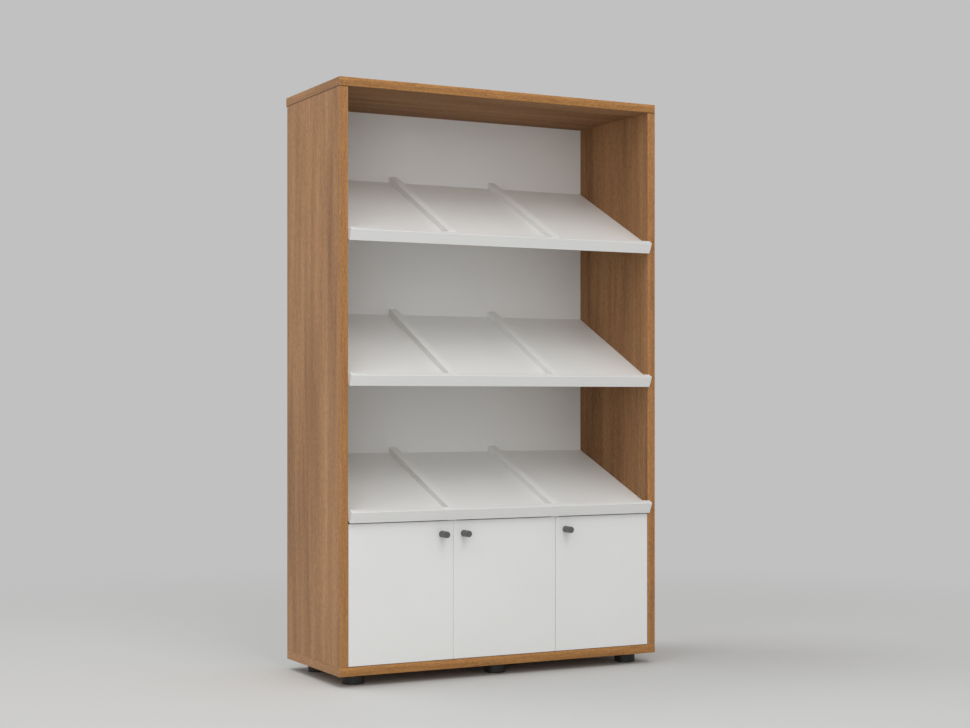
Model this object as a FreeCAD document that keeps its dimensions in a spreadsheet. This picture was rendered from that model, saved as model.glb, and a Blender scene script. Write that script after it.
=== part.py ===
import FreeCAD, Part
import math
import os
import re
import Sketcher

# Periodical display rack: a wood-effect board carcass with three sloping display
# shelves over a low cupboard with three doors, on six round feet.
# Frame: +Z up, +X to the right, the doors and lips face -Y. Origin at the middle of
# the footprint, on the floor. Millimetres.

os.makedirs("parts", exist_ok=True)

doc = FreeCAD.newDocument("PeriodicalRack")
V = FreeCAD.Vector

# ---------------------------------------------------------------- dimensions
DIMENSIONS = [
    # carcass
    ("rackwidth", 1000), ("carcassheight", 1605), ("sidedepth", 385), ("board", 25),
    ("frontface", -180.65), ("band", 2), ("ease", 1.2),
    ("backthick", 8), ("backinset", 5),
    # feet
    ("footheight", 30), ("footradius", 30), ("footleft", -432), ("footmid", 3.5), ("footright", 437.5),
    ("footfront", 68), ("footrear", 314),
    # sloping shelves: slope in degrees, height of the upper face at the back panel
    # over the carcass' underside, length along the slope
    ("whiteboard", 18), ("slope", 26), ("lowslope", 21.35),
    ("toprear", 1380.5), ("midrear", 990.9), ("lowrear", 584.1),
    ("shelflength", 430.5), ("lowlength", 417),
    # lips: all three lean alike; the bottom shelf is flatter, so its front end is cut at
    # a slant and its lip is placed by the front upper edge
    ("lipthick", 17.5), ("lipheight", 32.5), ("liprise", 14),
    ("lowlipheight", 33), ("lowlipfront", 25.1), ("lowliptop", 439.9),
    # divider strips
    ("stripwidth", 24), ("stripheight", 16), ("stripleft", -167.5), ("stripright", 160),
    # cupboard partitions: centre lines, front edge behind the doors, nose over the doors
    ("partleft", -162.5), ("partright", 162.5), ("setback", 30), ("nosefront", 0.5), ("noseover", 0.4),
    # doors, heights over the carcass' underside; the hinged edge of the middle door
    # swings past the right door, so the gap there is wider than at the free edges
    ("doorthick", 18), ("doorrecess", 0.5), ("doorbottom", 26.2), ("doortop", 408), ("doorround", 1),
    ("sidegap", 1), ("seamleft", -160.7), ("seamright", 164.1), ("seamgap", 0.6), ("hingeseam", 1),
    # knobs
    ("knobradius", 9.1), ("knoblength", 34), ("knobedge", 34.4), ("knobnear", 32), ("knobdrop", 36),
    # concealed hinges: the pin's place in the door and the cup
    ("hingeinset", 75), ("pinedge", 15), ("pinface", 6), ("pinradius", 1.25), ("pinbore", 1.3),
    ("cupedge", 21.9), ("cupradius", 17.45), ("cupinner", 16.5), ("cupdepth", 14.8), ("cupfloor", 0.5),
    ("flange", 1.2), ("sleeve", 2.1), ("armthick", 2.3), ("armhalf", 6), ("arcinner", 19.6), ("plateheight", 8),
    # catches and strike plates
    ("strike", 1), ("catchgap", 0.3), ("catchdeep", 38), ("catchwide", 14), ("catchheight", 190),
    # dowels and screws
    ("dowel", 3.9), ("dowelbore", 4), ("screw", 1.65), ("pilot", 1.75), ("confirmat", 3.4), ("confirmatbore", 3.5),
]
sheet = doc.addObject("Spreadsheet::Sheet", "dims")
for row, (alias, value) in enumerate(DIMENSIONS, 1):
    sheet.set("A%d" % row, alias)
    sheet.set("B%d" % row, str(value))
    sheet.setAlias("B%d" % row, alias)
doc.recompute()
WORDS = {alias for alias, value in DIMENSIONS}
VALUES = dict(DIMENSIONS)


def E(text):
    """An expression on the sheet's cells from a formula in their aliases."""
    return re.sub(r"[a-z]+", lambda m: "dims." + m.group(0) if m.group(0) in WORDS else m.group(0), str(text))


def put(obj, base, turn=None):
    """Bind a placement: base is three formulas, turn is (axis, angle formula)."""
    if turn is not None:
        axis = {"x": V(1, 0, 0), "y": V(0, 1, 0), "z": V(0, 0, 1)}[turn[0]]
        obj.Placement = FreeCAD.Placement(V(0, 0, 0), FreeCAD.Rotation(axis, 33))
        obj.setExpression(".Placement.Rotation.Angle", E(turn[1]))
    for axis, text in zip("xyz", base):
        obj.setExpression(".Placement.Base." + axis, E(text))
    return obj


def box(name, size, base, turn=None):
    obj = doc.addObject("Part::Box", name)
    for prop, text in zip(("Length", "Width", "Height"), size):
        obj.setExpression(prop, E(text))
    return put(obj, base, turn)


def cyl(name, radius, height, base, turn=None):
    obj = doc.addObject("Part::Cylinder", name)
    obj.setExpression("Radius", E(radius))
    obj.setExpression("Height", E(height))
    return put(obj, base, turn)


def cone(name, radius1, radius2, height, base, turn=None):
    obj = doc.addObject("Part::Cone", name)
    obj.setExpression("Radius1", E(radius1))
    obj.setExpression("Radius2", E(radius2))
    obj.setExpression("Height", E(height))
    return put(obj, base, turn)


def group(name, objs):
    obj = doc.addObject("Part::Compound", name)
    obj.Links = objs
    return obj


def fuse(name, objs):
    obj = doc.addObject("Part::MultiFuse", name)
    obj.Shapes = objs
    obj.Refine = True
    return obj


def cut(name, base, tools):
    obj = doc.addObject("Part::Cut", name)
    obj.Base = base
    obj.Tool = tools[0] if len(tools) == 1 else group(name + "_tools", tools)
    return obj


def common(name, a, b):
    obj = doc.addObject("Part::Common", name)
    obj.Base = a
    obj.Tool = b
    return obj


def eased(name, base, edges):
    """Round some edges of a box; each is named by its two faces, such as "x-z+"."""
    doc.recompute()
    inverse = base.Placement.inverse()
    size = {"x": base.Length.Value, "y": base.Width.Value, "z": base.Height.Value}
    r = VALUES["ease"]
    chosen = []
    for i, edge in enumerate(base.Shape.Edges):
        m = inverse.multVec((edge.Vertexes[0].Point + edge.Vertexes[1].Point) * 0.5)
        faces = "".join(a + ("-" if v < 1e-4 else "+") for a, v in zip("xyz", (m.x, m.y, m.z))
                        if v < 1e-4 or v > size[a] - 1e-4)
        if faces in edges:
            chosen.append((i + 1, r, r))
    assert len(chosen) == len(edges), (name, chosen)
    obj = doc.addObject("Part::Fillet", name)
    obj.Base = base
    obj.Edges = chosen
    return obj


SUBPARTS = []


def node(label, obj):
    obj.Label = label
    SUBPARTS.append((label, obj))
    return obj


def plane(body, role):
    for feature in body.Origin.OriginFeatures:
        if feature.Role == role:
            return feature
    raise ValueError(role)


def polygon(body, name, role, points):
    """A closed outline; each corner is held from the axes by formulas, '0' means on the axis."""
    sk = body.newObject("Sketcher::SketchObject", name)
    sk.AttachmentSupport = [(plane(body, role), "")]
    sk.MapMode = "FlatFace"
    val = [(numeric(x), numeric(y)) for x, y in points]
    n = len(points)
    for i in range(n):
        a, b = val[i], val[(i + 1) % n]
        sk.addGeometry(Part.LineSegment(V(a[0], a[1], 0), V(b[0], b[1], 0)), False)
    for i in range(n):
        sk.addConstraint(Sketcher.Constraint("Coincident", i, 2, (i + 1) % n, 1))
    for i, (x, y) in enumerate(points):
        if x == "0":
            sk.addConstraint(Sketcher.Constraint("PointOnObject", i, 1, -2))
        else:
            k = sk.addConstraint(Sketcher.Constraint("DistanceX", -1, 1, i, 1, val[i][0]))
            sk.setExpression("Constraints[%d]" % k, E(x))
        if y == "0":
            sk.addConstraint(Sketcher.Constraint("PointOnObject", i, 1, -1))
        else:
            k = sk.addConstraint(Sketcher.Constraint("DistanceY", -1, 1, i, 1, val[i][1]))
            sk.setExpression("Constraints[%d]" % k, E(y))
    return sk


def circles(body, name, role, places, radius):
    sk = body.newObject("Sketcher::SketchObject", name)
    sk.AttachmentSupport = [(plane(body, role), "")]
    sk.MapMode = "FlatFace"
    for i, (x, y) in enumerate(places):
        sk.addGeometry(Part.Circle(V(numeric(x), numeric(y), 0), V(0, 0, 1), numeric(radius)), False)
        for kind, text in (("DistanceX", x), ("DistanceY", y)):
            k = sk.addConstraint(Sketcher.Constraint(kind, -1, 1, i, 3, numeric(text)))
            sk.setExpression("Constraints[%d]" % k, E(text))
        k = sk.addConstraint(Sketcher.Constraint("Radius", i, numeric(radius)))
        sk.setExpression("Constraints[%d]" % k, E(radius))
    return sk


def numeric(text):
    """First value for a sketch constraint, before its expression drives it."""
    total = 0.0
    for sign, term in re.findall(r"([+-]?)([^+-]+)", str(text)):
        product = 1.0
        for op, factor in re.findall(r"([*/]?)([^*/]+)", term):
            value = VALUES[factor] if factor in VALUES else float(factor)
            product = product / value if op == "/" else product * value
        total += -product if sign == "-" else product
    return total


def turned(label, points, base, turn=None):
    """A turned piece: the outline is revolved round its own Z axis."""
    body = doc.addObject("PartDesign::Body", label + "_body")
    sk = polygon(body, label + "_outline", "XZ_Plane", points)
    rev = body.newObject("PartDesign::Revolution", label + "_turned")
    rev.Profile = sk
    rev.ReferenceAxis = (sk, ["V_Axis"])
    rev.Angle = 360
    put(body, base, turn)
    return node(label, body)


# ---------------------------------------------------------------- common places
BACKY = "frontface+sidedepth"                      # front face of the back panel
UNDER = "footheight"                               # underside of the carcass
INNER = "rackwidth/2-board"                        # inner face of the right side

# each shelf: rear height, slope, length along the slope
SHELVES = {
    "top": ("toprear", "slope", "shelflength"),
    "middle": ("midrear", "slope", "shelflength"),
    "bottom": ("lowrear", "lowslope", "lowlength"),
}


def on_shelf(which, along, over):
    """Y and Z formulas of a point: along = up the slope from the front edge, over = above the face."""
    rear, slope, length = SHELVES[which]
    y = "%s-(%s-(%s))*cos(%s)-(%s)*sin(%s)" % (BACKY, length, along, slope, over, slope)
    z = "%s+%s-(%s-(%s))*sin(%s)+(%s)*cos(%s)" % (UNDER, rear, length, along, slope, over, slope)
    return y, z


# each lip: Y and Z of its front lower edge, and its height
LIPS = {
    "top": on_shelf("top", "-lipthick", "liprise-lipheight") + ("lipheight",),
    "middle": on_shelf("middle", "-lipthick", "liprise-lipheight") + ("lipheight",),
    "bottom": ("frontface-lowlipfront+lowlipheight*sin(slope)",
               "footheight+lowliptop-lowlipheight*cos(slope)", "lowlipheight"),
}
SHELF_DOWELS = ("60", "210", "360")
LIP_DOWELS = ("-410", "-90", "90", "410")
STRIP_SCREWS = ("80", "330")
STRIPS = {"left": "stripleft", "right": "stripright"}
TOP_DOWELS = ("45", "190", "335")
SIDE_SCREWS = ("50", "190", "345")
PART_SCREWS = ("90", "320")
BACK_SIDE_SCREWS = ("120", "440", "800", "1130", "1500")
BACK_BASE_SCREWS = ("-330", "0", "330")
FEET = {
    "front_left_foot": ("footleft", "footfront"),
    "front_middle_foot": ("footmid", "footfront"),
    "front_right_foot": ("footright", "footfront"),
    "rear_left_foot": ("footleft", "footrear"),
    "rear_middle_foot": ("footmid", "footrear"),
    "rear_right_foot": ("footright", "footrear"),
}
# doors: left edge, right edge, side of the hinges (-1 left, 1 right), distance from
# the hinge pin to the panel that carries the arm, and where the knob goes
DOORS = {
    "left": ("-rackwidth/2+board+sidegap", "seamleft-seamgap/2", -1, "pinedge+sidegap"),
    "middle": ("seamleft+seamgap/2", "seamright-hingeseam/2", 1,
               "partright-board/2-seamright+hingeseam/2+pinedge"),
    "right": ("seamright+hingeseam/2", "rackwidth/2-board-sidegap", 1, "pinedge+sidegap"),
}
HINGE_HEIGHTS = {"low": "footheight+doorbottom+hingeinset", "high": "footheight+doortop-hingeinset"}
PINY = "frontface+doorrecess+pinface"
CATCH_Z = "footheight+doorbottom+catchheight"
# the face each catch is fixed to, and the way it looks along X
CATCHES = {
    "left": ("partleft-board/2", -1),
    "middle": ("partleft+board/2", 1),
    "right": ("partright+board/2", 1),
}


def span_x(name, x0, sx, u0, u1, y0, y1, z0, z1):
    """A box from u0 to u1 on the sx side of x0."""
    x = "%s+(%s)" % (x0, u0) if sx > 0 else "%s-(%s)" % (x0, u1)
    return box(name, ("(%s)-(%s)" % (u1, u0), "(%s)-(%s)" % (y1, y0), "(%s)-(%s)" % (z1, z0)), (x, y0, z0))


def rod_x(name, radius, x0, sx, u0, u1, y, z):
    """A cylinder along X from u0 to u1 on the sx side of x0."""
    x = "%s+(%s)" % (x0, u0) if sx > 0 else "%s-(%s)" % (x0, u1)
    return cyl(name, radius, "(%s)-(%s)" % (u1, u0), (x, y, z), ("y", "90"))


def hinge_frame(which):
    left, right, side, face = DOORS[which]
    pinx = "%s+pinedge" % left if side < 0 else "%s-pinedge" % right
    return pinx, -side, face


# ---------------------------------------------------------------- carcass boards
# Bores for the dowels between the side panels and the shelves.
def shelf_bores(tag, sx):
    tools = []
    for which in SHELVES:
        for k, along in enumerate(SHELF_DOWELS):
            y, z = on_shelf(which, along, "-whiteboard/2")
            tools.append(rod_x("%s_%s_bore%d" % (tag, which, k), "dowelbore", "(%s)*%d" % (INNER, sx), sx,
                               "-17", "15.5", y, z))
    return tools


for name, sx, door in (("left", -1, "left"), ("right", 1, "right")):
    x0 = "-rackwidth/2" if sx < 0 else INNER
    base = eased(name + "_side_eased",
                 box(name + "_side_board", ("board", "sidedepth-band", "carcassheight-2*board"),
                     (x0, "frontface+band", "footheight+board")),
                 ["x-y+" if sx < 0 else "x+y+"])
    mid = "(rackwidth/2-board/2)*%d" % sx
    tools = shelf_bores(name + "_side", sx)
    for k, d in enumerate(TOP_DOWELS):
        tools.append(cyl("%s_side_topbore%d" % (name, k), "dowelbore", "25",
                         (mid, "frontface+" + d, "footheight+carcassheight-board-20.5")))
    for k, d in enumerate(SIDE_SCREWS):
        tools.append(cyl("%s_side_lowbore%d" % (name, k), "confirmatbore", "50",
                         (mid, "frontface+" + d, "footheight+board-20")))
    for k, d in enumerate(BACK_SIDE_SCREWS):
        tools.append(cyl("%s_side_backbore%d" % (name, k), "pilot", "22",
                         (mid, BACKY + "-19", "footheight+" + d), ("x", "-90")))
    pinx, hs, face = hinge_frame(door)
    for high, z in HINGE_HEIGHTS.items():
        for w in ("-24", "24"):
            tools.append(rod_x("%s_side_%s_platebore%s" % (name, high, w[-3:].replace("-", "m")), "pilot", pinx, hs,
                               "-(%s)-13.5" % face, "-(%s)+1" % face, PINY + "+38", z + "+" + w))
    node(name + "_side_panel", cut(name + "_side_cut", base, tools))
    node(name + "_edge_band", eased(name + "_band_eased",
                                    box(name + "_band", ("board", "band", "carcassheight-2*board"),
                                        (x0, "frontface", "footheight+board")), ["x-y-", "x+y-"]))

# The ends and the rear of the top and bottom panels have rounded edges; the bands on
# their front edges are rounded in front and at the ends.
ROUND_BOARD = ["x-z-", "x-z+", "x+z-", "x+z+", "y+z-", "y+z+", "x-y+", "x+y+"]
ROUND_BAND = ["x-z-", "x-z+", "x+z-", "x+z+", "y-z-", "y-z+", "x-y-", "x+y-"]

# top panel: runs over the sides and, at the rear, over the back panel
base = eased("top_eased", box("top_board", ("rackwidth", "sidedepth+backthick-band", "board"),
                              ("-rackwidth/2", "frontface+band", "footheight+carcassheight-board")), ROUND_BOARD)
tools = [cyl("top_bore_%d_%d" % (sx, k), "dowelbore", "20",
             ("(rackwidth/2-board/2)*%d" % sx, "frontface+" + d, "footheight+carcassheight-board-4.5"))
         for sx in (-1, 1) for k, d in enumerate(TOP_DOWELS)]
node("top_panel", cut("top_cut", base, tools))
node("top_edge_band", eased("top_band_eased", box("top_band", ("rackwidth", "band", "board"),
                            ("-rackwidth/2", "frontface", "footheight+carcassheight-board")), ROUND_BAND))

# bottom panel: under the sides, bored for the carcass screws and the foot screws
base = eased("bottom_eased", box("bottom_board", ("rackwidth", "sidedepth-band", "board"),
                                 ("-rackwidth/2", "frontface+band", UNDER)), ROUND_BOARD)
CARCASS_SCREWS = [("(rackwidth/2-board/2)*%d" % sx, d) for sx in (-1, 1) for d in SIDE_SCREWS] + \
                 [(p, d) for p in ("partleft", "partright") for d in PART_SCREWS]
tools = []
for k, (x, d) in enumerate(CARCASS_SCREWS):
    tools.append(cyl("bottom_bore%d" % k, "confirmatbore", "30", (x, "frontface+" + d, "footheight-1")))
    tools.append(cone("bottom_sink%d" % k, "5.2", "confirmatbore", "2.2", (x, "frontface+" + d, "footheight-0.001")))
for label, (x, d) in FEET.items():
    tools.append(cyl("bottom_" + label, "2.1", "19", (x, "frontface+" + d, "footheight-1")))
for k, x in enumerate(BACK_BASE_SCREWS):
    tools.append(cyl("bottom_backbore%d" % k, "pilot", "22", (x, BACKY + "-19", "footheight+board/2"), ("x", "-90")))
node("bottom_panel", cut("bottom_cut", base, tools))
node("bottom_edge_band", eased("bottom_band_eased", box("bottom_band", ("rackwidth", "band", "board"),
                               ("-rackwidth/2", "frontface", UNDER)), ROUND_BAND))

# back panel: behind the sides and the bottom, under the top
base = box("back_board", ("rackwidth-2*backinset", "backthick", "carcassheight-board"),
           ("-rackwidth/2+backinset", BACKY, UNDER))
BACK_SCREWS = [("(rackwidth/2-board/2)*%d" % sx, "footheight+" + d) for sx in (-1, 1) for d in BACK_SIDE_SCREWS] + \
              [(x, "footheight+board/2") for x in BACK_BASE_SCREWS] + \
              [(p, "footheight+" + d) for p in ("partleft", "partright") for d in ("130", "430")]
tools = [cyl("back_bore%d" % k, "pilot", "backthick+2", (x, BACKY + "-1", z), ("x", "-90"))
         for k, (x, z) in enumerate(BACK_SCREWS)]
node("back_panel", cut("back_cut", base, tools))

# ---------------------------------------------------------------- sloping shelves, lips and strips
for which, (rear, slope, length) in SHELVES.items():
    # shelf: a board laid on the slope, its rear end cut upright against the back panel
    start = "-6" if which == "bottom" else "0"
    y, z = on_shelf(which, start, "-whiteboard")
    slab = box(which + "_slab", ("rackwidth-2*board", length + "+46", "whiteboard"),
               ("-rackwidth/2+board", y, z), ("x", slope))
    lipy, lipz, height = LIPS[which]
    # what stands in front of the plane of the lip's rear face
    ahead = []
    if which == "bottom":
        ahead = [box(which + "_ahead", ("rackwidth", "lipthick+30", "120"),
                     ("-rackwidth/2", lipy + "-30*cos(slope)+60*sin(slope)",
                      lipz + "-30*sin(slope)-60*cos(slope)"), ("x", "slope"))]
    room = box(which + "_room", ("rackwidth", "sidedepth+100", "1000"),
               ("-rackwidth/2", "frontface-100", "footheight+%s-700" % rear))
    trimmed = common(which + "_trimmed", slab, room)
    tools = []
    for sx in (-1, 1):
        for k, along in enumerate(SHELF_DOWELS):
            yy, zz = on_shelf(which, along, "-whiteboard/2")
            tools.append(rod_x("%s_endbore_%d_%d" % (which, sx, k), "dowelbore", "(%s)*%d" % (INNER, sx), sx,
                               "-17", "15.5", yy, zz))
    yy, zz = on_shelf(which, "-13", "-whiteboard/2")
    for k, x in enumerate(LIP_DOWELS):
        tools.append(cyl("%s_lipbore%d" % (which, k), "3", "30", (x, yy, zz), ("x", slope + "-90")))
    yy, zz = on_shelf(which, "0", "-whiteboard-1")
    for side, x in STRIPS.items():
        for k, along in enumerate(STRIP_SCREWS):
            yy, zz = on_shelf(which, along, "-whiteboard-1")
            tools.append(cyl("%s_%s_stripbore%d" % (which, side, k), "pilot", "20", (x, yy, zz), ("x", slope)))
            yy, zz = on_shelf(which, along, "-whiteboard-0.001")
            tools.append(cone("%s_%s_stripsink%d" % (which, side, k), "3.6", "pilot", "2", (x, yy, zz), ("x", slope)))
    node(which + "_shelf", cut(which + "_shelf_cut", trimmed, tools + ahead))

    # lip: stands up across the shelf's front end
    strip = eased(which + "_lip_eased", box(which + "_lip_board", ("rackwidth-2*board", "lipthick", height),
                                            ("-rackwidth/2+board", lipy, lipz), ("x", "slope")),
                  ["x-y-", "x-y+", "x+y-", "x+y+", "x-z-", "x-z+", "x+z-", "x+z+", "y-z-", "y-z+", "y+z-", "y+z+"])
    yy, zz = on_shelf(which, "-13", "-whiteboard/2")
    tools = [cyl("%s_lip_bore%d" % (which, k), "3", "30", (x, yy, zz), ("x", slope + "-90"))
             for k, x in enumerate(LIP_DOWELS)]
    node(which + "_lip", cut(which + "_lip_cut", strip, tools))

    # divider strips: flat on the shelf from the lip to the back panel, rear end upright
    for side, x in STRIPS.items():
        y, z = on_shelf(which, start, "0")
        bar = eased("%s_%s_bareased" % (which, side),
                    box("%s_%s_bar" % (which, side), ("stripwidth", length + "+46", "stripheight"),
                        (x + "-stripwidth/2", y, z), ("x", slope)), ["x-z+", "x+z+"])
        cutbar = common("%s_%s_bartrim" % (which, side), bar, room)
        tools = []
        for k, along in enumerate(STRIP_SCREWS):
            yy, zz = on_shelf(which, along, "-1")
            tools.append(cyl("%s_%s_barbore%d" % (which, side, k), "pilot", "13.5", (x, yy, zz), ("x", slope)))
        node("%s_%s_divider" % (which, side), cut("%s_%s_divider_cut" % (which, side), cutbar, tools + ahead))

# ---------------------------------------------------------------- cupboard partitions
# Behind the doors the front edge stands back; over the doors a nose reaches forward
# under the bottom shelf, and the top follows the shelf's slope.
for side, centre in (("left", "partleft"), ("right", "partright")):
    main = box(side + "_part_main", ("board", "sidedepth-setback", "lowrear"),
               (centre + "-board/2", "frontface+setback", "footheight+board"))
    nose = box(side + "_part_nose", ("board", "setback+10-nosefront", "60"),
               (centre + "-board/2", "frontface+nosefront", "footheight+doortop+noseover"))
    y, z = on_shelf("bottom", "-60", "-whiteboard")
    over = box(side + "_part_over", ("board+20", "700", "700"), (centre + "-board/2-10", y, z), ("x", "lowslope"))
    tools = [over]
    for k, d in enumerate(PART_SCREWS):
        tools.append(cyl("%s_part_lowbore%d" % (side, k), "confirmatbore", "50",
                         (centre, "frontface+" + d, "footheight+board-20")))
    for k, d in enumerate(("130", "430")):
        tools.append(cyl("%s_part_backbore%d" % (side, k), "pilot", "22",
                         (centre, BACKY + "-19", "footheight+" + d), ("x", "-90")))
    for door, (face, sx) in CATCHES.items():
        if (side == "left") == (door != "right"):
            for w in ("-19", "19"):
                tools.append(rod_x("%s_%s_catchbore%s" % (side, door, w.replace("-", "m")), "pilot", face, sx,
                                   "-10.5" if door == "left" else "-10.5", "1", "frontface+setback+14",
                                   CATCH_Z + ("+3.5" if door == "middle" else "-3.5" if door == "left" else "") + "+" + w))
    if side == "right":
        pinx, hs, face = hinge_frame("middle")
        for high, z in HINGE_HEIGHTS.items():
            for w in ("-24", "24"):
                tools.append(rod_x("part_%s_platebore%s" % (high, w.replace("-", "m")), "pilot", pinx, hs,
                                   "-(%s)-13.5" % face, "-(%s)+1" % face, PINY + "+38", z + "+" + w))
    node(side + "_partition", cut(side + "_part_cut", fuse(side + "_part_shape", [main, nose]), tools))

# ---------------------------------------------------------------- doors
for which, (left, right, side, face) in DOORS.items():
    wide = "(%s)-(%s)" % (right, left)
    tall = "doortop-doorbottom"
    span = {"left": "seamleft-seamgap/2+rackwidth/2-board-sidegap",
            "middle": "seamright-seamleft-seamgap/2-hingeseam/2",
            "right": "rackwidth/2-board-sidegap-seamright-hingeseam/2"}[which]
    body = doc.addObject("PartDesign::Body", which + "_door_body")
    sk = polygon(body, which + "_door_outline", "XZ_Plane", [("0", "0"), (span, "0"), (span, tall), ("0", tall)])
    pad = body.newObject("PartDesign::Pad", which + "_door_pad")
    pad.Profile = sk
    pad.Length = VALUES["doorthick"]
    pad.setExpression("Length", E("doorthick"))
    doc.recompute()
    rim = ["Edge%d" % (i + 1) for i, e in enumerate(pad.Shape.Edges)
           if all(abs(v.Point.y + VALUES["doorthick"]) < 1e-4 for v in e.Vertexes)]
    assert len(rim) == 4, (which, rim)
    ease = body.newObject("PartDesign::Fillet", which + "_door_eased")
    ease.Base = (pad, rim)
    ease.Radius = VALUES["doorround"]
    ease.setExpression("Radius", E("doorround"))
    doc.recompute()
    free = ease.Shape.Volume
    # cup bores from the inner face
    cupx = "cupedge" if side < 0 else span + "-cupedge"
    sk = circles(body, which + "_door_cups", "XZ_Plane",
                 [(cupx, "hingeinset"), (cupx, tall + "-hingeinset")], "17.5")
    pocket = body.newObject("PartDesign::Pocket", which + "_door_cupbores")
    pocket.Profile = sk
    pocket.Length = VALUES["cupdepth"]
    pocket.setExpression("Length", E("cupdepth"))
    pocket.Reversed = True
    # knob screw hole, right through
    knobx = span + "-knobedge" if side < 0 else "knobnear"
    sk = circles(body, which + "_door_knob", "XZ_Plane", [(knobx, tall + "-knobdrop")], "2.2")
    hole = body.newObject("PartDesign::Pocket", which + "_door_knobbore")
    hole.Profile = sk
    hole.Length = 40
    hole.Reversed = True
    # bores for the nibs of the strike plate
    face_x, look = CATCHES[which]
    strikex = {"left": "partleft-board/2-catchwide/2+rackwidth/2-board-sidegap",
               "middle": "partleft+board/2+catchwide/2-seamleft-seamgap/2",
               "right": "partright+board/2+catchwide/2-seamright-hingeseam/2"}[which]
    sk = circles(body, which + "_door_nibs", "XZ_Plane",
                 [(strikex, "catchheight-12"), (strikex, "catchheight+12")], "1.55")
    nibs = body.newObject("PartDesign::Pocket", which + "_door_nibbores")
    nibs.Profile = sk
    nibs.Length = 8.5
    nibs.Reversed = True
    doc.recompute()
    lost = free - nibs.Shape.Volume
    want = (2 * math.pi * 17.5 ** 2 * VALUES["cupdepth"] + math.pi * 2.2 ** 2 * VALUES["doorthick"]
            + 2 * math.pi * 1.55 ** 2 * 8.5)
    assert abs(lost - want) < 1, (which, lost, want)
    put(body, (left, "frontface+doorrecess+doorthick", "footheight+doorbottom"))
    node(which + "_door", body)

    # knob: turned, with a rounded rim and a blind hole for its screw
    kx = "%s-knobedge" % right if side < 0 else "%s+knobnear" % left
    kz = "footheight+doortop-knobdrop"
    turned(which + "_knob",
           [("2", "0"), ("knobradius-0.4", "0"), ("knobradius", "0.4"), ("knobradius", "knoblength-1.4"),
            ("knobradius-0.4", "knoblength-0.5"), ("knobradius-1.4", "knoblength"),
            ("0", "knoblength"), ("0", "17"), ("2", "17")],
           (kx, "frontface+doorrecess", kz), ("x", "90"))
    node(which + "_knob_screw", fuse(which + "_knob_screw_shape", [
        cyl(which + "_ks_head", "4", "2.4", (kx, "frontface+doorrecess+doorthick", kz), ("x", "-90")),
        cyl(which + "_ks_shank", "1.95", "doorthick+14", (kx, "frontface+doorrecess-14", kz), ("x", "-90"))]))

    # strike plate with two nibs on the inner face
    sx_look = "%s-catchwide" % face_x if look < 0 else face_x
    sy = "frontface+doorrecess+doorthick"
    node(which + "_strike_plate", fuse(which + "_strike_shape", [
        box(which + "_strike_box", ("catchwide", "strike", "36"), (sx_look, sy, CATCH_Z + "-18"))] + [
        cyl("%s_nib%d" % (which, k), "1.5", "8.4", ("%s+catchwide/2" % sx_look, sy + "-8", CATCH_Z + w), ("x", "-90"))
        for k, w in enumerate(("-12", "+12"))]))

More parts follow.
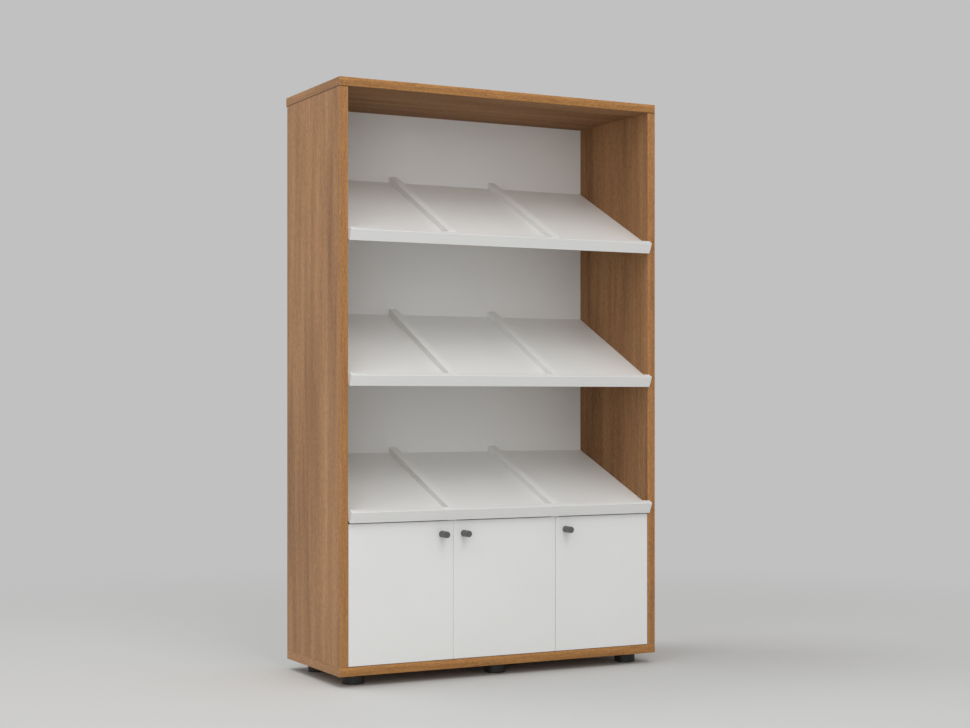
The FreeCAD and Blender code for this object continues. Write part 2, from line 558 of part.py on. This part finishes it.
# ---------------------------------------------------------------- hinges
# Each pin runs up through the cup, near the door's edge; the gooseneck arm holds it in
# a sleeve, leaves the cup round the path of the door's edge and reaches its plate.
arms, plates, arm_screws, small_screws = [], [], [], []
for which in DOORS:
    pinx, sx, face = hinge_frame(which)
    cups, pins = [], []
    for high, z in HINGE_HEIGHTS.items():
        tag = "%s_%s_" % (which, high)
        armu = "plateheight-(%s)" % face
        ring_from = "0" if which != "middle" else armu
        arm_from = "arcinner" if which != "middle" else "arcinner-0.6"
        inside = "armhalf"

        def hb(name, u0, u1, v0, v1, w0, w1):
            return span_x(tag + name, pinx, sx, u0, u1, PINY + "+(%s)" % v0, PINY + "+(%s)" % v1,
                          z + "+(%s)" % w0, z + "+(%s)" % w1)

        ring = cut(tag + "ring", cyl(tag + "ring_out", "arcinner+armthick", "2*armhalf", (pinx, PINY, z + "-armhalf")),
                   [cyl(tag + "ring_in", "arcinner", "2*armhalf+4", (pinx, PINY, z + "-armhalf-2"))])
        arc = common(tag + "arc", ring, hb("arc_room", ring_from, "30", "-1.25", "30", "-armhalf-1", "armhalf+1"))
        pieces = [cyl(tag + "sleeve", "sleeve", "2*armhalf", (pinx, PINY, z + "-armhalf")),
                  hb("web", "0", "arcinner+1", "-1.25", "1.25", "-armhalf", "armhalf"),
                  arc,
                  hb("armplate", armu, armu + "+armthick", arm_from, "72", "-8", "8"),
                  hb("cheek_low", armu + "-5.5", armu + "+armthick", "24", "70", "-9.5", "-8"),
                  hb("cheek_high", armu + "-5.5", armu + "+armthick", "24", "70", "8", "9.5")]
        if which != "middle":
            pieces.append(hb("reach", armu, "0", "arcinner", "arcinner+armthick", "-armhalf", "armhalf"))
        arms.append(cut(tag + "arm", fuse(tag + "arm_shape", pieces),
                        [cyl(tag + "pin_bore", "pinbore", "40", (pinx, PINY, z + "-20")),
                         rod_x(tag + "arm_bore", "2", pinx, sx, armu + "-1", armu + "+armthick+1", PINY + "+56", z)]))
        plate = fuse(tag + "plate_shape", [
            hb("plate_base", "-(%s)" % face, "-(%s)+2" % face, "28", "48", "-30", "30"),
            hb("plate_block", "-(%s)" % face, armu, "22", "68", "-7.9", "7.9")])
        plates.append(cut(tag + "plate", plate, [
            rod_x(tag + "plate_screwbore", "2", pinx, sx, "-(%s)+0.8" % face, armu + "+1", PINY + "+56", z)] + [
            rod_x(tag + "plate_wing%d" % k, "1.8", pinx, sx, "-(%s)-1" % face, "-(%s)+3" % face, PINY + "+38", z + w)
            for k, w in enumerate(("-24", "+24"))]))
        arm_screws.append(fuse(tag + "arm_screw", [
            rod_x(tag + "as_head", "4", pinx, sx, armu + "+armthick", armu + "+armthick+2.4", PINY + "+56", z),
            rod_x(tag + "as_shank", "1.9", pinx, sx, "-(%s)+1" % face, armu + "+armthick+1", PINY + "+56", z)]))
        for k, w in enumerate(("-24", "+24")):
            small_screws.append(fuse(tag + "plate_screw%d" % k, [
                rod_x("%sps_head%d" % (tag, k), "3.3", pinx, sx, "-(%s)+2" % face, "-(%s)+4" % face, PINY + "+38", z + w),
                rod_x("%sps_shank%d" % (tag, k), "screw", pinx, sx, "-(%s)-13" % face, "-(%s)+3" % face,
                      PINY + "+38", z + w)]))
        # cup with its flange, open towards the cupboard; the pin is held in its walls
        cu = "cupedge-pinedge"
        cx = "%s+(%s)" % (pinx, cu) if sx > 0 else "%s-(%s)" % (pinx, cu)
        back = "doorthick-pinface"
        shell = fuse(tag + "cup_shape", [
            cyl(tag + "cup_out", "cupradius", "cupdepth", (cx, PINY + "+%s-cupdepth" % back, z), ("x", "-90")),
            cyl(tag + "cup_rim", "19", "flange", (cx, PINY + "+" + back, z), ("x", "-90")),
            hb("cup_wing", cu + "-7", cu + "+7", back, back + "+flange", "-30", "30")])
        cups.append(cut(tag + "cup", shell, [
            cyl(tag + "cup_in", "cupinner", "cupdepth+10", (cx, PINY + "+%s-cupdepth+cupfloor" % back, z), ("x", "-90")),
            cyl(tag + "cup_pinbore", "pinradius+0.02", "40", (pinx, PINY, z + "-20"))]))
        pins.append(cyl(tag + "pin", "pinradius", "30.9", (pinx, PINY, z + "-15.45")))
    node(which + "_hinge_cups", group(which + "_hinge_cups_group", cups))
    node(which + "_hinge_pins", group(which + "_hinge_pins_group", pins))

# ---------------------------------------------------------------- catches
catches = []
for which, (face, sx) in CATCHES.items():
    y0 = "frontface+doorrecess+doorthick+strike+catchgap"
    lift = "+3.5" if which == "middle" else "-3.5" if which == "left" else ""
    wing = span_x(which + "_catch_wing", face, sx, "0", "2.5", "frontface+setback+4", "frontface+setback+24",
                  CATCH_Z + "-26" + lift, CATCH_Z + "+26" + lift)
    block = span_x(which + "_catch_block", face, sx, "0", "catchwide", y0, y0 + "+catchdeep", CATCH_Z + "-12", CATCH_Z + "+12")
    bores = [rod_x("%s_catch_bore%d" % (which, k), "1.8", face, sx, "-1", "4", "frontface+setback+14",
                   CATCH_Z + lift + w) for k, w in enumerate(("-19", "+19"))]
    catches.append(cut(which + "_catch", fuse(which + "_catch_shape", [wing, block]), bores))
    for k, w in enumerate(("-19", "+19")):
        z = CATCH_Z + lift + w
        small_screws.append(fuse("%s_catch_screw%d" % (which, k), [
            rod_x("%s_cs_head%d" % (which, k), "3.3", face, sx, "2.5", "4.5", "frontface+setback+14", z),
            rod_x("%s_cs_shank%d" % (which, k), "screw", face, sx, "-10", "3.5", "frontface+setback+14", z)]))

node("hinge_arms", group("hinge_arms_group", arms))
node("hinge_plates", group("hinge_plates_group", plates))
node("hinge_arm_screws", group("hinge_arm_screws_group", arm_screws))
node("magnetic_catches", group("magnetic_catches_group", catches))
node("hardware_screws", group("hardware_screws_group", small_screws))

# ---------------------------------------------------------------- feet
foot_screws = []
for label, (x, d) in FEET.items():
    turned(label, [("7.5", "0"), ("footradius-2", "0"), ("footradius-0.5", "0.6"), ("footradius", "2"),
                   ("footradius", "footheight"), ("2.6", "footheight"), ("2.6", "footheight-8"), ("7.5", "footheight-8")],
           (x, "frontface+" + d, "0"))
    foot_screws.append(fuse(label + "_screw", [
        cyl(label + "_screw_head", "5.5", "3", (x, "frontface+" + d, "footheight-11")),
        cyl(label + "_screw_shank", "2", "25", (x, "frontface+" + d, "footheight-8"))]))
node("foot_screws", group("foot_screws_group", foot_screws))

# ---------------------------------------------------------------- dowels and screws
rods = []
for sx in (-1, 1):
    for k, d in enumerate(TOP_DOWELS):
        rods.append(cyl("top_dowel_%d_%d" % (sx, k), "dowel", "34",
                        ("(rackwidth/2-board/2)*%d" % sx, "frontface+" + d, "footheight+carcassheight-board-19.5")))
node("top_dowels", group("top_dowels_group", rods))

rods = []
for which in SHELVES:
    for sx in (-1, 1):
        for k, along in enumerate(SHELF_DOWELS):
            yy, zz = on_shelf(which, along, "-whiteboard/2")
            rods.append(rod_x("%s_dowel_%d_%d" % (which, sx, k), "dowel", "(%s)*%d" % (INNER, sx), sx,
                              "-16", "14.5", yy, zz))
node("shelf_dowels", group("shelf_dowels_group", rods))

rods = []
for which in SHELVES:
    yy, zz = on_shelf(which, "-12.5", "-whiteboard/2")
    for k, x in enumerate(LIP_DOWELS):
        rods.append(cyl("%s_lipdowel%d" % (which, k), "2.9", "29", (x, yy, zz), ("x", SHELVES[which][1] + "-90")))
node("lip_dowels", group("lip_dowels_group", rods))

screws = []
for which in SHELVES:
    slope = SHELVES[which][1]
    for side, x in STRIPS.items():
        for k, along in enumerate(STRIP_SCREWS):
            tag = "%s_%s_stripscrew%d" % (which, side, k)
            y0, z0 = on_shelf(which, along, "-whiteboard")
            screws.append(fuse(tag, [cone(tag + "_head", "3.4", "screw", "1.9", (x, y0, z0), ("x", slope)),
                                     cyl(tag + "_shank", "screw", "30", (x, y0, z0), ("x", slope))]))
node("divider_screws", group("divider_screws_group", screws))

screws = []
for k, (x, d) in enumerate(CARCASS_SCREWS):
    tag = "carcass_screw%d" % k
    screws.append(fuse(tag, [cone(tag + "_head", "5", "confirmat", "2", (x, "frontface+" + d, UNDER)),
                             cyl(tag + "_shank", "confirmat", "54", (x, "frontface+" + d, UNDER))]))
node("carcass_screws", group("carcass_screws_group", screws))

screws = []
for k, (x, z) in enumerate(BACK_SCREWS):
    tag = "back_screw%d" % k
    screws.append(fuse(tag, [
        cyl(tag + "_head", "3.5", "1.8", (x, BACKY + "+backthick", z), ("x", "-90")),
        cyl(tag + "_shank", "screw", "backthick+18.5", (x, BACKY + "-18", z), ("x", "-90"))]))
node("back_panel_screws", group("back_panel_screws_group", screws))

# ---------------------------------------------------------------- check and write
doc.recompute()
for obj in doc.Objects:
    bad = [s for s in obj.State if s in ("Invalid", "Error")]
    if bad:
        raise RuntimeError("%s (%s) is %s" % (obj.Label, obj.Name, bad))
assert len(SUBPARTS) <= 60, len(SUBPARTS)
for label, obj in SUBPARTS:
    shape = obj.Shape
    if shape.isNull() or not shape.isValid() or not shape.Solids:
        raise RuntimeError("%s has no valid solid" % label)
for label, obj in SUBPARTS:
    obj.Shape.exportStep("parts/%s.step" % label)
whole = Part.makeCompound([obj.Shape for label, obj in SUBPARTS])
bb = whole.BoundBox
print(len(SUBPARTS), "parts, box", [round(v, 2) for v in (bb.XMin, bb.YMin, bb.ZMin, bb.XMax, bb.YMax, bb.ZMax)])
for label, obj in SUBPARTS:
    print(label, len(obj.Shape.Solids), round(obj.Shape.Volume / 1000.0, 2), "cm3")
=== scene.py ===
import math

import bpy
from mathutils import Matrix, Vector

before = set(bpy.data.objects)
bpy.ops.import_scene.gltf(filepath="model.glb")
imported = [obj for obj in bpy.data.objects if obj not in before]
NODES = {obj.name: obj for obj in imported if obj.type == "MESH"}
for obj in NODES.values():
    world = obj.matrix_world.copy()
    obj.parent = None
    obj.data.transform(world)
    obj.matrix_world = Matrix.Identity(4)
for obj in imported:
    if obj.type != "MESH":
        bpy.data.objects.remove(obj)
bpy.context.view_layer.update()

scene = bpy.context.scene
scene.view_settings.view_transform = "Standard"
scene.view_settings.look = "None"

# ---------------------------------------------------------------- camera
camera_data = bpy.data.cameras.new("camera")
camera = bpy.data.objects.new("camera", camera_data)
scene.collection.objects.link(camera)
scene.camera = camera
camera.location = (-2.3202, -4.4988, 0.7747)
camera.rotation_euler = (math.radians(90), 0, math.radians(-27.605))
camera_data.sensor_fit = "HORIZONTAL"
camera_data.sensor_width = 36
camera_data.lens = 1750.65 * 36 / 970
camera_data.shift_y = (398.415 - 364) / 970
camera_data.clip_end = 200
camera_data.dof.use_dof = False


# ---------------------------------------------------------------- shader helper
class Shader:
    """A material built from nodes, with short calls for the nodes it needs."""

    def __init__(self, name, kind="ShaderNodeBsdfPrincipled"):
        self.mat = bpy.data.materials.new(name)
        self.mat.use_nodes = True
        self.tree = self.mat.node_tree
        self.tree.nodes.clear()
        self.out = self.add("ShaderNodeOutputMaterial")
        self.bsdf = self.add(kind)
        self.join(self.bsdf.outputs[0], self.out.inputs["Surface"])
        self.coord = self.add("ShaderNodeTexCoord")
        self.place = self.coord.outputs["Object"]

    def add(self, kind, **props):
        node = self.tree.nodes.new(kind)
        for key, value in props.items():
            setattr(node, key, value)
        return node

    def join(self, source, target):
        self.tree.links.new(source, target)

    def feed(self, socket, value):
        if isinstance(value, bpy.types.NodeSocket):
            self.join(value, socket)
        else:
            socket.default_value = value

    def set(self, **values):
        for key, value in values.items():
            self.feed(self.bsdf.inputs[key.replace("_", " ")], value)

    def math(self, op, a, b=0.0, c=0.0, clamp=False):
        node = self.add("ShaderNodeMath", operation=op, use_clamp=clamp)
        for socket, value in zip(node.inputs, (a, b, c)):
            self.feed(socket, value)
        return node.outputs[0]

    def vector(self, op, a, b=(0, 0, 0)):
        node = self.add("ShaderNodeVectorMath", operation=op)
        self.feed(node.inputs[0], a)
        self.feed(node.inputs[1], b)
        return node.outputs["Value"] if op in ("LENGTH", "DOT_PRODUCT", "DISTANCE") else node.outputs["Vector"]

    def split(self, v):
        node = self.add("ShaderNodeSeparateXYZ")
        self.feed(node.inputs[0], v)
        return node.outputs

    def pack(self, x, y, z):
        node = self.add("ShaderNodeCombineXYZ")
        for socket, value in zip(node.inputs, (x, y, z)):
            self.feed(socket, value)
        return node.outputs[0]

    def noise(self, place, scale, detail=2.0, rough=0.5, distort=0.0):
        """Noise whose features are 1/scale metres along each axis."""
        node = self.add("ShaderNodeTexNoise", noise_dimensions="3D")
        self.feed(node.inputs["Vector"], self.vector("MULTIPLY", place, scale))
        node.inputs["Scale"].default_value = 1.0
        node.inputs["Detail"].default_value = detail
        node.inputs["Roughness"].default_value = rough
        node.inputs["Distortion"].default_value = distort
        return node.outputs["Fac"]

    def remap(self, value, a, b, c=0.0, d=1.0, smooth=False):
        node = self.add("ShaderNodeMapRange", clamp=True)
        if smooth:
            node.interpolation_type = "SMOOTHSTEP"
        for key, v in (("Value", value), ("From Min", a), ("From Max", b), ("To Min", c), ("To Max", d)):
            self.feed(node.inputs[key], v)
        return node.outputs[0]

    def ramp(self, value, stops, curve="EASE"):
        node = self.add("ShaderNodeValToRGB")
        self.feed(node.inputs[0], value)
        ramp = node.color_ramp
        ramp.interpolation = curve
        while len(ramp.elements) < len(stops):
            ramp.elements.new(0.5)
        for element, (at, colour) in zip(ramp.elements, stops):
            element.position = at
            element.color = (*colour, 1)
        return node.outputs[0]

    def mix(self, fac, a, b, mode="MIX"):
        node = self.add("ShaderNodeMix", data_type="RGBA", blend_type=mode)
        self.feed(node.inputs[0], fac)
        for socket, value in ((node.inputs[6], a), (node.inputs[7], b)):
            self.feed(socket, (*value, 1) if isinstance(value, tuple) else value)
        return node.outputs[2]

    def bump(self, height, strength, distance, normal=None):
        node = self.add("ShaderNodeBump")
        node.inputs["Strength"].default_value = strength
        node.inputs["Distance"].default_value = distance
        self.feed(node.inputs["Height"], height)
        if normal is not None:
            self.join(normal, node.inputs["Normal"])
        return node.outputs[0]


def grown(colour, k):
    return tuple(min(1.0, c * k) for c in colour)


# ---------------------------------------------------------------- wood-effect board
WOOD = (0.408, 0.202, 0.081)      # mean colour of the printed wood, linear
BAND = (0.396, 0.181, 0.058)      # the edge bands are a little more orange
BAND_LEVEL = (0.394, 0.180, 0.048)
INNER_SHADE = (0.79, 0.79, 0.81)        # painted shade: the faces inside the carcass are darkened, standing in for the shade in the bays
TOP_JOINT = 1.610                 # underside of the top panel


def wood(name, grain, mean, scale=1.0, depth=1.0, slow=1.0, ends=None, offset=(0.0, 0.0, 0.0), across=None,
         inner_shade=INNER_SHADE):
    """Printed wood under a satin melamine face. grain is the axis that the figure runs along;
    ends is the axis for the faces that look along X, which carry their own bands. scale makes the
    figure finer, depth its contrast, slow that of the broad bands alone, and across is (axis, from,
    to, stops) for a strip that is lighter at its edges."""
    s = Shader(name)
    x, y, z = s.split(s.vector("ADD", s.place, offset))
    px, py, pz = s.split(s.place)

    def turned(axis):
        return {"x": s.pack(y, z, x), "y": s.pack(z, x, y), "z": s.pack(x, y, z)}[axis]

    place = turned(grain)
    if ends:
        nx = s.split(s.coord.outputs["Normal"])[0]
        node = s.add("ShaderNodeMix", data_type="VECTOR")
        s.feed(node.inputs[0], s.math("GREATER_THAN", s.math("ABSOLUTE", nx), 0.72))
        s.feed(node.inputs[4], place)
        s.feed(node.inputs[5], turned(ends))
        place = node.outputs[1]

    # the figure wanders from side to side along the board
    drift = s.noise(place, (2.6, 2.6, 2.0), 2.0)
    ripple = s.noise(place, (16.0, 16.0, 9.0), 2.0)
    sway = s.math("MULTIPLY_ADD", s.math("SUBTRACT", drift, 0.5), 0.028,
                  s.math("MULTIPLY", s.math("SUBTRACT", ripple, 0.5), 0.002))
    place = s.vector("ADD", place, s.pack(sway, sway, 0.0))

    def figure(across_m, along_m, detail=2.0, rough=0.5):
        k = scale
        return s.noise(place, (across_m * k, across_m * k, along_m * k), detail, rough)

    broad = figure(10.0, 0.9, 1.0)
    medium = figure(27.0, 1.6, 2.0)
    streak = figure(95.0, 3.2, 3.0, 0.7)
    fibre = figure(420.0, 14.0, 2.0, 0.6)
    mottle = figure(230.0, 85.0, 1.0)
    fleck = figure(330.0, 70.0, 1.0)
    pores = figure(1250.0, 70.0, 1.0)
    tone = 0.5
    for layer, amount in ((broad, 1.10 * slow), (medium, 0.95 * slow), (streak, 0.68), (fibre, 0.62), (mottle, 0.68)):
        tone = s.math("MULTIPLY_ADD", s.math("SUBTRACT", layer, 0.5), amount * depth, tone)
    colour = s.ramp(tone, [
        (0.0, tuple(m * k for m, k in zip(mean, (0.57, 0.50, 0.42)))),
        (0.5, mean),
        (1.0, tuple(m * k for m, k in zip(mean, (1.42, 1.50, 1.64))))], "LINEAR")
    # a hand-wide drift between a redder and a more olive brown
    hue = figure(14.0, 2.2, 2.0)
    colour = s.mix(s.remap(hue, 0.32, 0.68), s.mix(1.0, colour, (1.008, 0.993, 0.984), "MULTIPLY"),
                   s.mix(1.0, colour, (0.992, 1.007, 1.010), "MULTIPLY"))
    # short dark dashes, and the pores
    dash = s.remap(fleck, 0.54, 0.72, 0.0, 0.38 * depth)
    colour = s.mix(dash, colour, grown(mean, 0.50))
    pore = s.remap(pores, 0.60, 0.72, 0.0, 0.34)
    colour = s.mix(pore, colour, grown(mean, 0.40))
    if across:
        axis, low, high, stops = across
        at = s.remap({"x": px, "y": py, "z": pz}[axis], low, high)
        colour = s.mix(1.0, colour, s.ramp(at, [(t, (k, k ** 1.1, k ** 1.5)) for t, k in stops], "EASE"), "MULTIPLY")
    # painted shade: the faces inside the carcass are darkened, standing in for the shade that falls in the bays
    hull = [s.math("LESS_THAN", s.math("ABSOLUTE", px), 0.4984), s.math("LESS_THAN", pz, TOP_JOINT + 0.0005),
            s.math("GREATER_THAN", pz, 0.0545), s.math("GREATER_THAN", py, -0.1795)]
    inside = s.math("MULTIPLY", s.math("MULTIPLY", hull[0], hull[1]), s.math("MULTIPLY", hull[2], hull[3]))
    colour = s.mix(inside, colour, s.mix(1.0, colour, inner_shade, "MULTIPLY"))
    # painted shade: a dark line along the joint under the top panel, standing in for the shade in the groove between
    # the rounded edges
    joint_shade = s.remap(s.math("ABSOLUTE", s.math("SUBTRACT", pz, TOP_JOINT)), 0.0006, 0.0026, 0.72, 0.0, smooth=True)
    joint_shade = s.math("MULTIPLY", joint_shade, s.math("SUBTRACT", 1.0, inside))
    colour = s.mix(joint_shade, colour, tuple(m * k for m, k in zip(mean, (0.22, 0.20, 0.15))))
    s.set(Base_Color=colour)
    gloss = s.remap(fibre, 0.25, 0.75, 0.44, 0.56)
    s.set(Roughness=s.math("MULTIPLY_ADD", inside, 0.36, gloss))
    s.set(IOR=1.45, Normal=s.bump(s.math("SUBTRACT", s.math("MULTIPLY", fibre, 0.5), pore), 0.12, 0.0002))
    return s.mat


# ---------------------------------------------------------------- white melamine
def melamine(name, colour, rough=0.42, offset=0.0):
    """White melamine: a pearl texture of shallow dimples, faint clouds in tone and gloss."""
    s = Shader(name)
    place = s.vector("ADD", s.place, (offset, offset, offset))
    cloud = s.noise(place, (4.0, 4.0, 4.0), 3.0)
    speck = s.noise(place, (900.0, 900.0, 900.0), 2.0)
    pearl = s.noise(place, (420.0, 420.0, 420.0), 2.0, 0.6)
    base = s.mix(s.remap(cloud, 0.3, 0.7), grown(colour, 0.985), grown(colour, 1.012))
    base = s.mix(s.remap(speck, 0.68, 0.80, 0.0, 0.05), base, grown(colour, 0.6))
    s.set(Base_Color=base)
    s.set(Roughness=s.remap(cloud, 0.3, 0.7, rough - 0.03, rough + 0.04))
    s.set(IOR=1.5, Normal=s.bump(pearl, 0.10, 0.00025))
    return s.mat


# ---------------------------------------------------------------- moulded plastic
def plastic(name, colour, rough, scale=650.0, depth=0.0002, strength=0.2):
    s = Shader(name)
    grain = s.noise(s.place, (scale, scale, scale), 3.0, 0.6)
    cloud = s.noise(s.place, (30.0, 30.0, 30.0), 2.0)
    base = s.mix(s.remap(cloud, 0.3, 0.7), grown(colour, 0.90), grown(colour, 1.10))
    s.set(Base_Color=base)
    s.set(Roughness=s.remap(grain, 0.3, 0.7, rough - 0.05, rough + 0.08))
    s.set(IOR=1.48, Normal=s.bump(grain, strength, depth))
    return s.mat


# ---------------------------------------------------------------- plated steel
def steel(name, colour, rough, along=(60.0, 60.0, 1400.0)):
    s = Shader(name)
    brush = s.noise(s.place, along, 2.0, 0.6)
    stain = s.noise(s.place, (90.0, 90.0, 90.0), 3.0)
    base = s.mix(s.remap(stain, 0.35, 0.75), colour, grown(colour, 0.86))
    s.set(Base_Color=base, Metallic=1.0)
    s.set(Roughness=s.remap(s.math("ADD", brush, stain), 0.7, 1.3, rough - 0.06, rough + 0.10))
    s.set(Normal=s.bump(brush, 0.12, 0.0001))
    return s.mat


def raw_wood(name, colour):
    s = Shader(name)
    fibre = s.noise(s.place, (900.0, 900.0, 60.0), 3.0)
    s.set(Base_Color=s.mix(fibre, grown(colour, 0.8), grown(colour, 1.15)), Roughness=0.7)
    s.set(Normal=s.bump(fibre, 0.3, 0.0002))
    return s.mat


WHITE = (0.800, 0.798, 0.785)
MATERIALS = {
    "side": wood("wood_sides", "z", WOOD),
    # the top panel's faces inside the carcass, the ceiling of the top bay, get a deeper painted shade
    "top": wood("wood_top", "x", WOOD, ends="y", offset=(0.31, 0.0, 0.0), inner_shade=(0.63, 0.63, 0.61)),
    "bottom": wood("wood_bottom", "x", WOOD, ends="y", offset=(1.73, 0.4, 0.0)),
    "band_left": wood("band_left", "z", BAND, 1.6, 1.15, 0.25, offset=(0.7, 0.2, 0.5),
                      across=("x", -0.5, -0.475, [(0.0, 1.06), (0.25, 1.0), (0.7, 0.95), (0.86, 1.0), (1.0, 1.12)])),
    "band_right": wood("band_right", "z", grown(BAND, 1.03), 1.6, 1.35, 0.25, offset=(1.9, 0.2, 0.8),
                       across=("x", 0.475, 0.5, [(0.0, 1.10), (0.3, 1.0), (0.6, 0.95), (0.8, 1.0), (1.0, 1.08)])),
    "band_top": wood("band_top", "x", BAND_LEVEL, 1.6, 1.5, 0.12, ends="z", offset=(0.9, 0.6, 0.1),
                     across=("z", 1.61, 1.635, [(0.0, 0.90), (0.35, 0.93), (0.6, 1.0), (0.8, 1.14), (1.0, 1.20)])),
    "band_bottom": wood("band_bottom", "x", grown(BAND_LEVEL, 1.03), 1.6, 1.45, 0.12, ends="z", offset=(0.4, 1.6, 0.3),
                        across=("z", 0.03, 0.055, [(0.0, 0.88), (0.35, 0.92), (0.6, 0.99), (0.8, 1.13), (1.0, 1.12)])),
    "shelf": melamine("shelf_melamine", grown(WHITE, 1.045)),
    "lip": melamine("lip_melamine", grown(WHITE, 1.00), 0.40, 1.9),
    "strip": melamine("strip_melamine", grown(WHITE, 1.07), 0.40, 2.3),
    "door": melamine("door_melamine", WHITE, 0.40, 3.1),
    "back": melamine("back_melamine", grown(WHITE, 0.995), 0.46, 5.7),
    "knob": plastic("knob_plastic", (0.105, 0.105, 0.103), 0.42),
    "foot": plastic("foot_plastic", (0.016, 0.016, 0.016), 0.48),
    "catch": plastic("catch_plastic", (0.70, 0.70, 0.68), 0.38, 900.0),
    "hinge": steel("nickel_steel", (0.62, 0.61, 0.58), 0.26),
    "screw": steel("zinc_steel", (0.58, 0.59, 0.60), 0.34, (400.0, 400.0, 400.0)),
    "dowel": raw_wood("beech", (0.62, 0.45, 0.27)),
}


def material_of(node):
    if node.endswith("_side_panel"):
        return "side"
    if node.endswith("_edge_band"):
        return "band_" + node.split("_")[0]
    if node == "top_panel":
        return "top"
    if node == "bottom_panel":
        return "bottom"
    if node == "back_panel":
        return "back"
    if node.endswith("_door"):
        return "door"
    if node.endswith("_knob"):
        return "knob"
    if node.endswith("_foot"):
        return "foot"
    if node.endswith("_catches"):
        return "catch"
    if "screw" in node:
        return "screw"
    if "hinge" in node or "strike" in node:
        return "hinge"
    if "dowels" in node:
        return "dowel"
    if node.endswith("_lip"):
        return "lip"
    if node.endswith("_divider"):
        return "strip"
    return "shelf"


for node, obj in NODES.items():
    for slot in obj.material_slots:
        slot.material = MATERIALS[material_of(node)]

# ---------------------------------------------------------------- floor
BACKDROP = 0.533                  # linear grey of the surroundings


def floor_material():
    s = Shader("pale_floor", "ShaderNodeMixShader")
    matt = s.add("ShaderNodeBsdfPrincipled")
    matt.inputs["Base Color"].default_value = (FLOOR, FLOOR, FLOOR * 0.985, 1)
    matt.inputs["Roughness"].default_value = 0.75
    matt.inputs["Specular IOR Level"].default_value = 0.25
    glow = s.add("ShaderNodeEmission")
    glow.inputs["Color"].default_value = (BACKDROP, BACKDROP, BACKDROP, 1)
    far = s.remap(s.vector("LENGTH", s.place), 1.1, 3.4, smooth=True)
    s.feed(s.bsdf.inputs[0], far)
    s.join(matt.outputs[0], s.bsdf.inputs[1])
    s.join(glow.outputs[0], s.bsdf.inputs[2])
    return s.mat


FLOOR = 0.60
mesh = bpy.data.meshes.new("floor")
mesh.from_pydata([(-80, -80, 0), (80, -80, 0), (80, 80, 0), (-80, 80, 0)], [], [(0, 1, 2, 3)])
floor = bpy.data.objects.new("floor", mesh)
scene.collection.objects.link(floor)
mesh.materials.append(floor_material())

# ---------------------------------------------------------------- light
world = bpy.data.worlds.new("studio")
world.use_nodes = True
world.node_tree.nodes["Background"].inputs["Color"].default_value = (BACKDROP, BACKDROP, BACKDROP, 1)
world.node_tree.nodes["Background"].inputs["Strength"].default_value = 1.0
scene.world = world

LIGHTS = [
    # name, azimuth from the front (to the left is minus), elevation, size, watts
    ("key", -5, 45, 2.0, 43),
    ("front", -5, 25, 2.0, 19),
    ("low_front", -35, 5, 2.0, 31),
    ("left", -60, 45, 2.0, 28),
    ("side", -120, 68, 2.0, 80),
    ("top", 15, 68, 2.0, 17),
]
AIM = Vector((0, 0, 0.85))
for name, azimuth, elevation, size, watts in LIGHTS:
    a, e = math.radians(azimuth), math.radians(elevation)
    away = Vector((math.sin(a) * math.cos(e), -math.cos(a) * math.cos(e), math.sin(e)))
    data = bpy.data.lights.new(name, "AREA")
    data.shape = "SQUARE"
    data.size = size
    data.energy = watts
    lamp = bpy.data.objects.new(name, data)
    lamp.location = AIM + 5.2 * away
    lamp.rotation_euler = away.to_track_quat("Z", "Y").to_euler()
    scene.collection.objects.link(lamp)
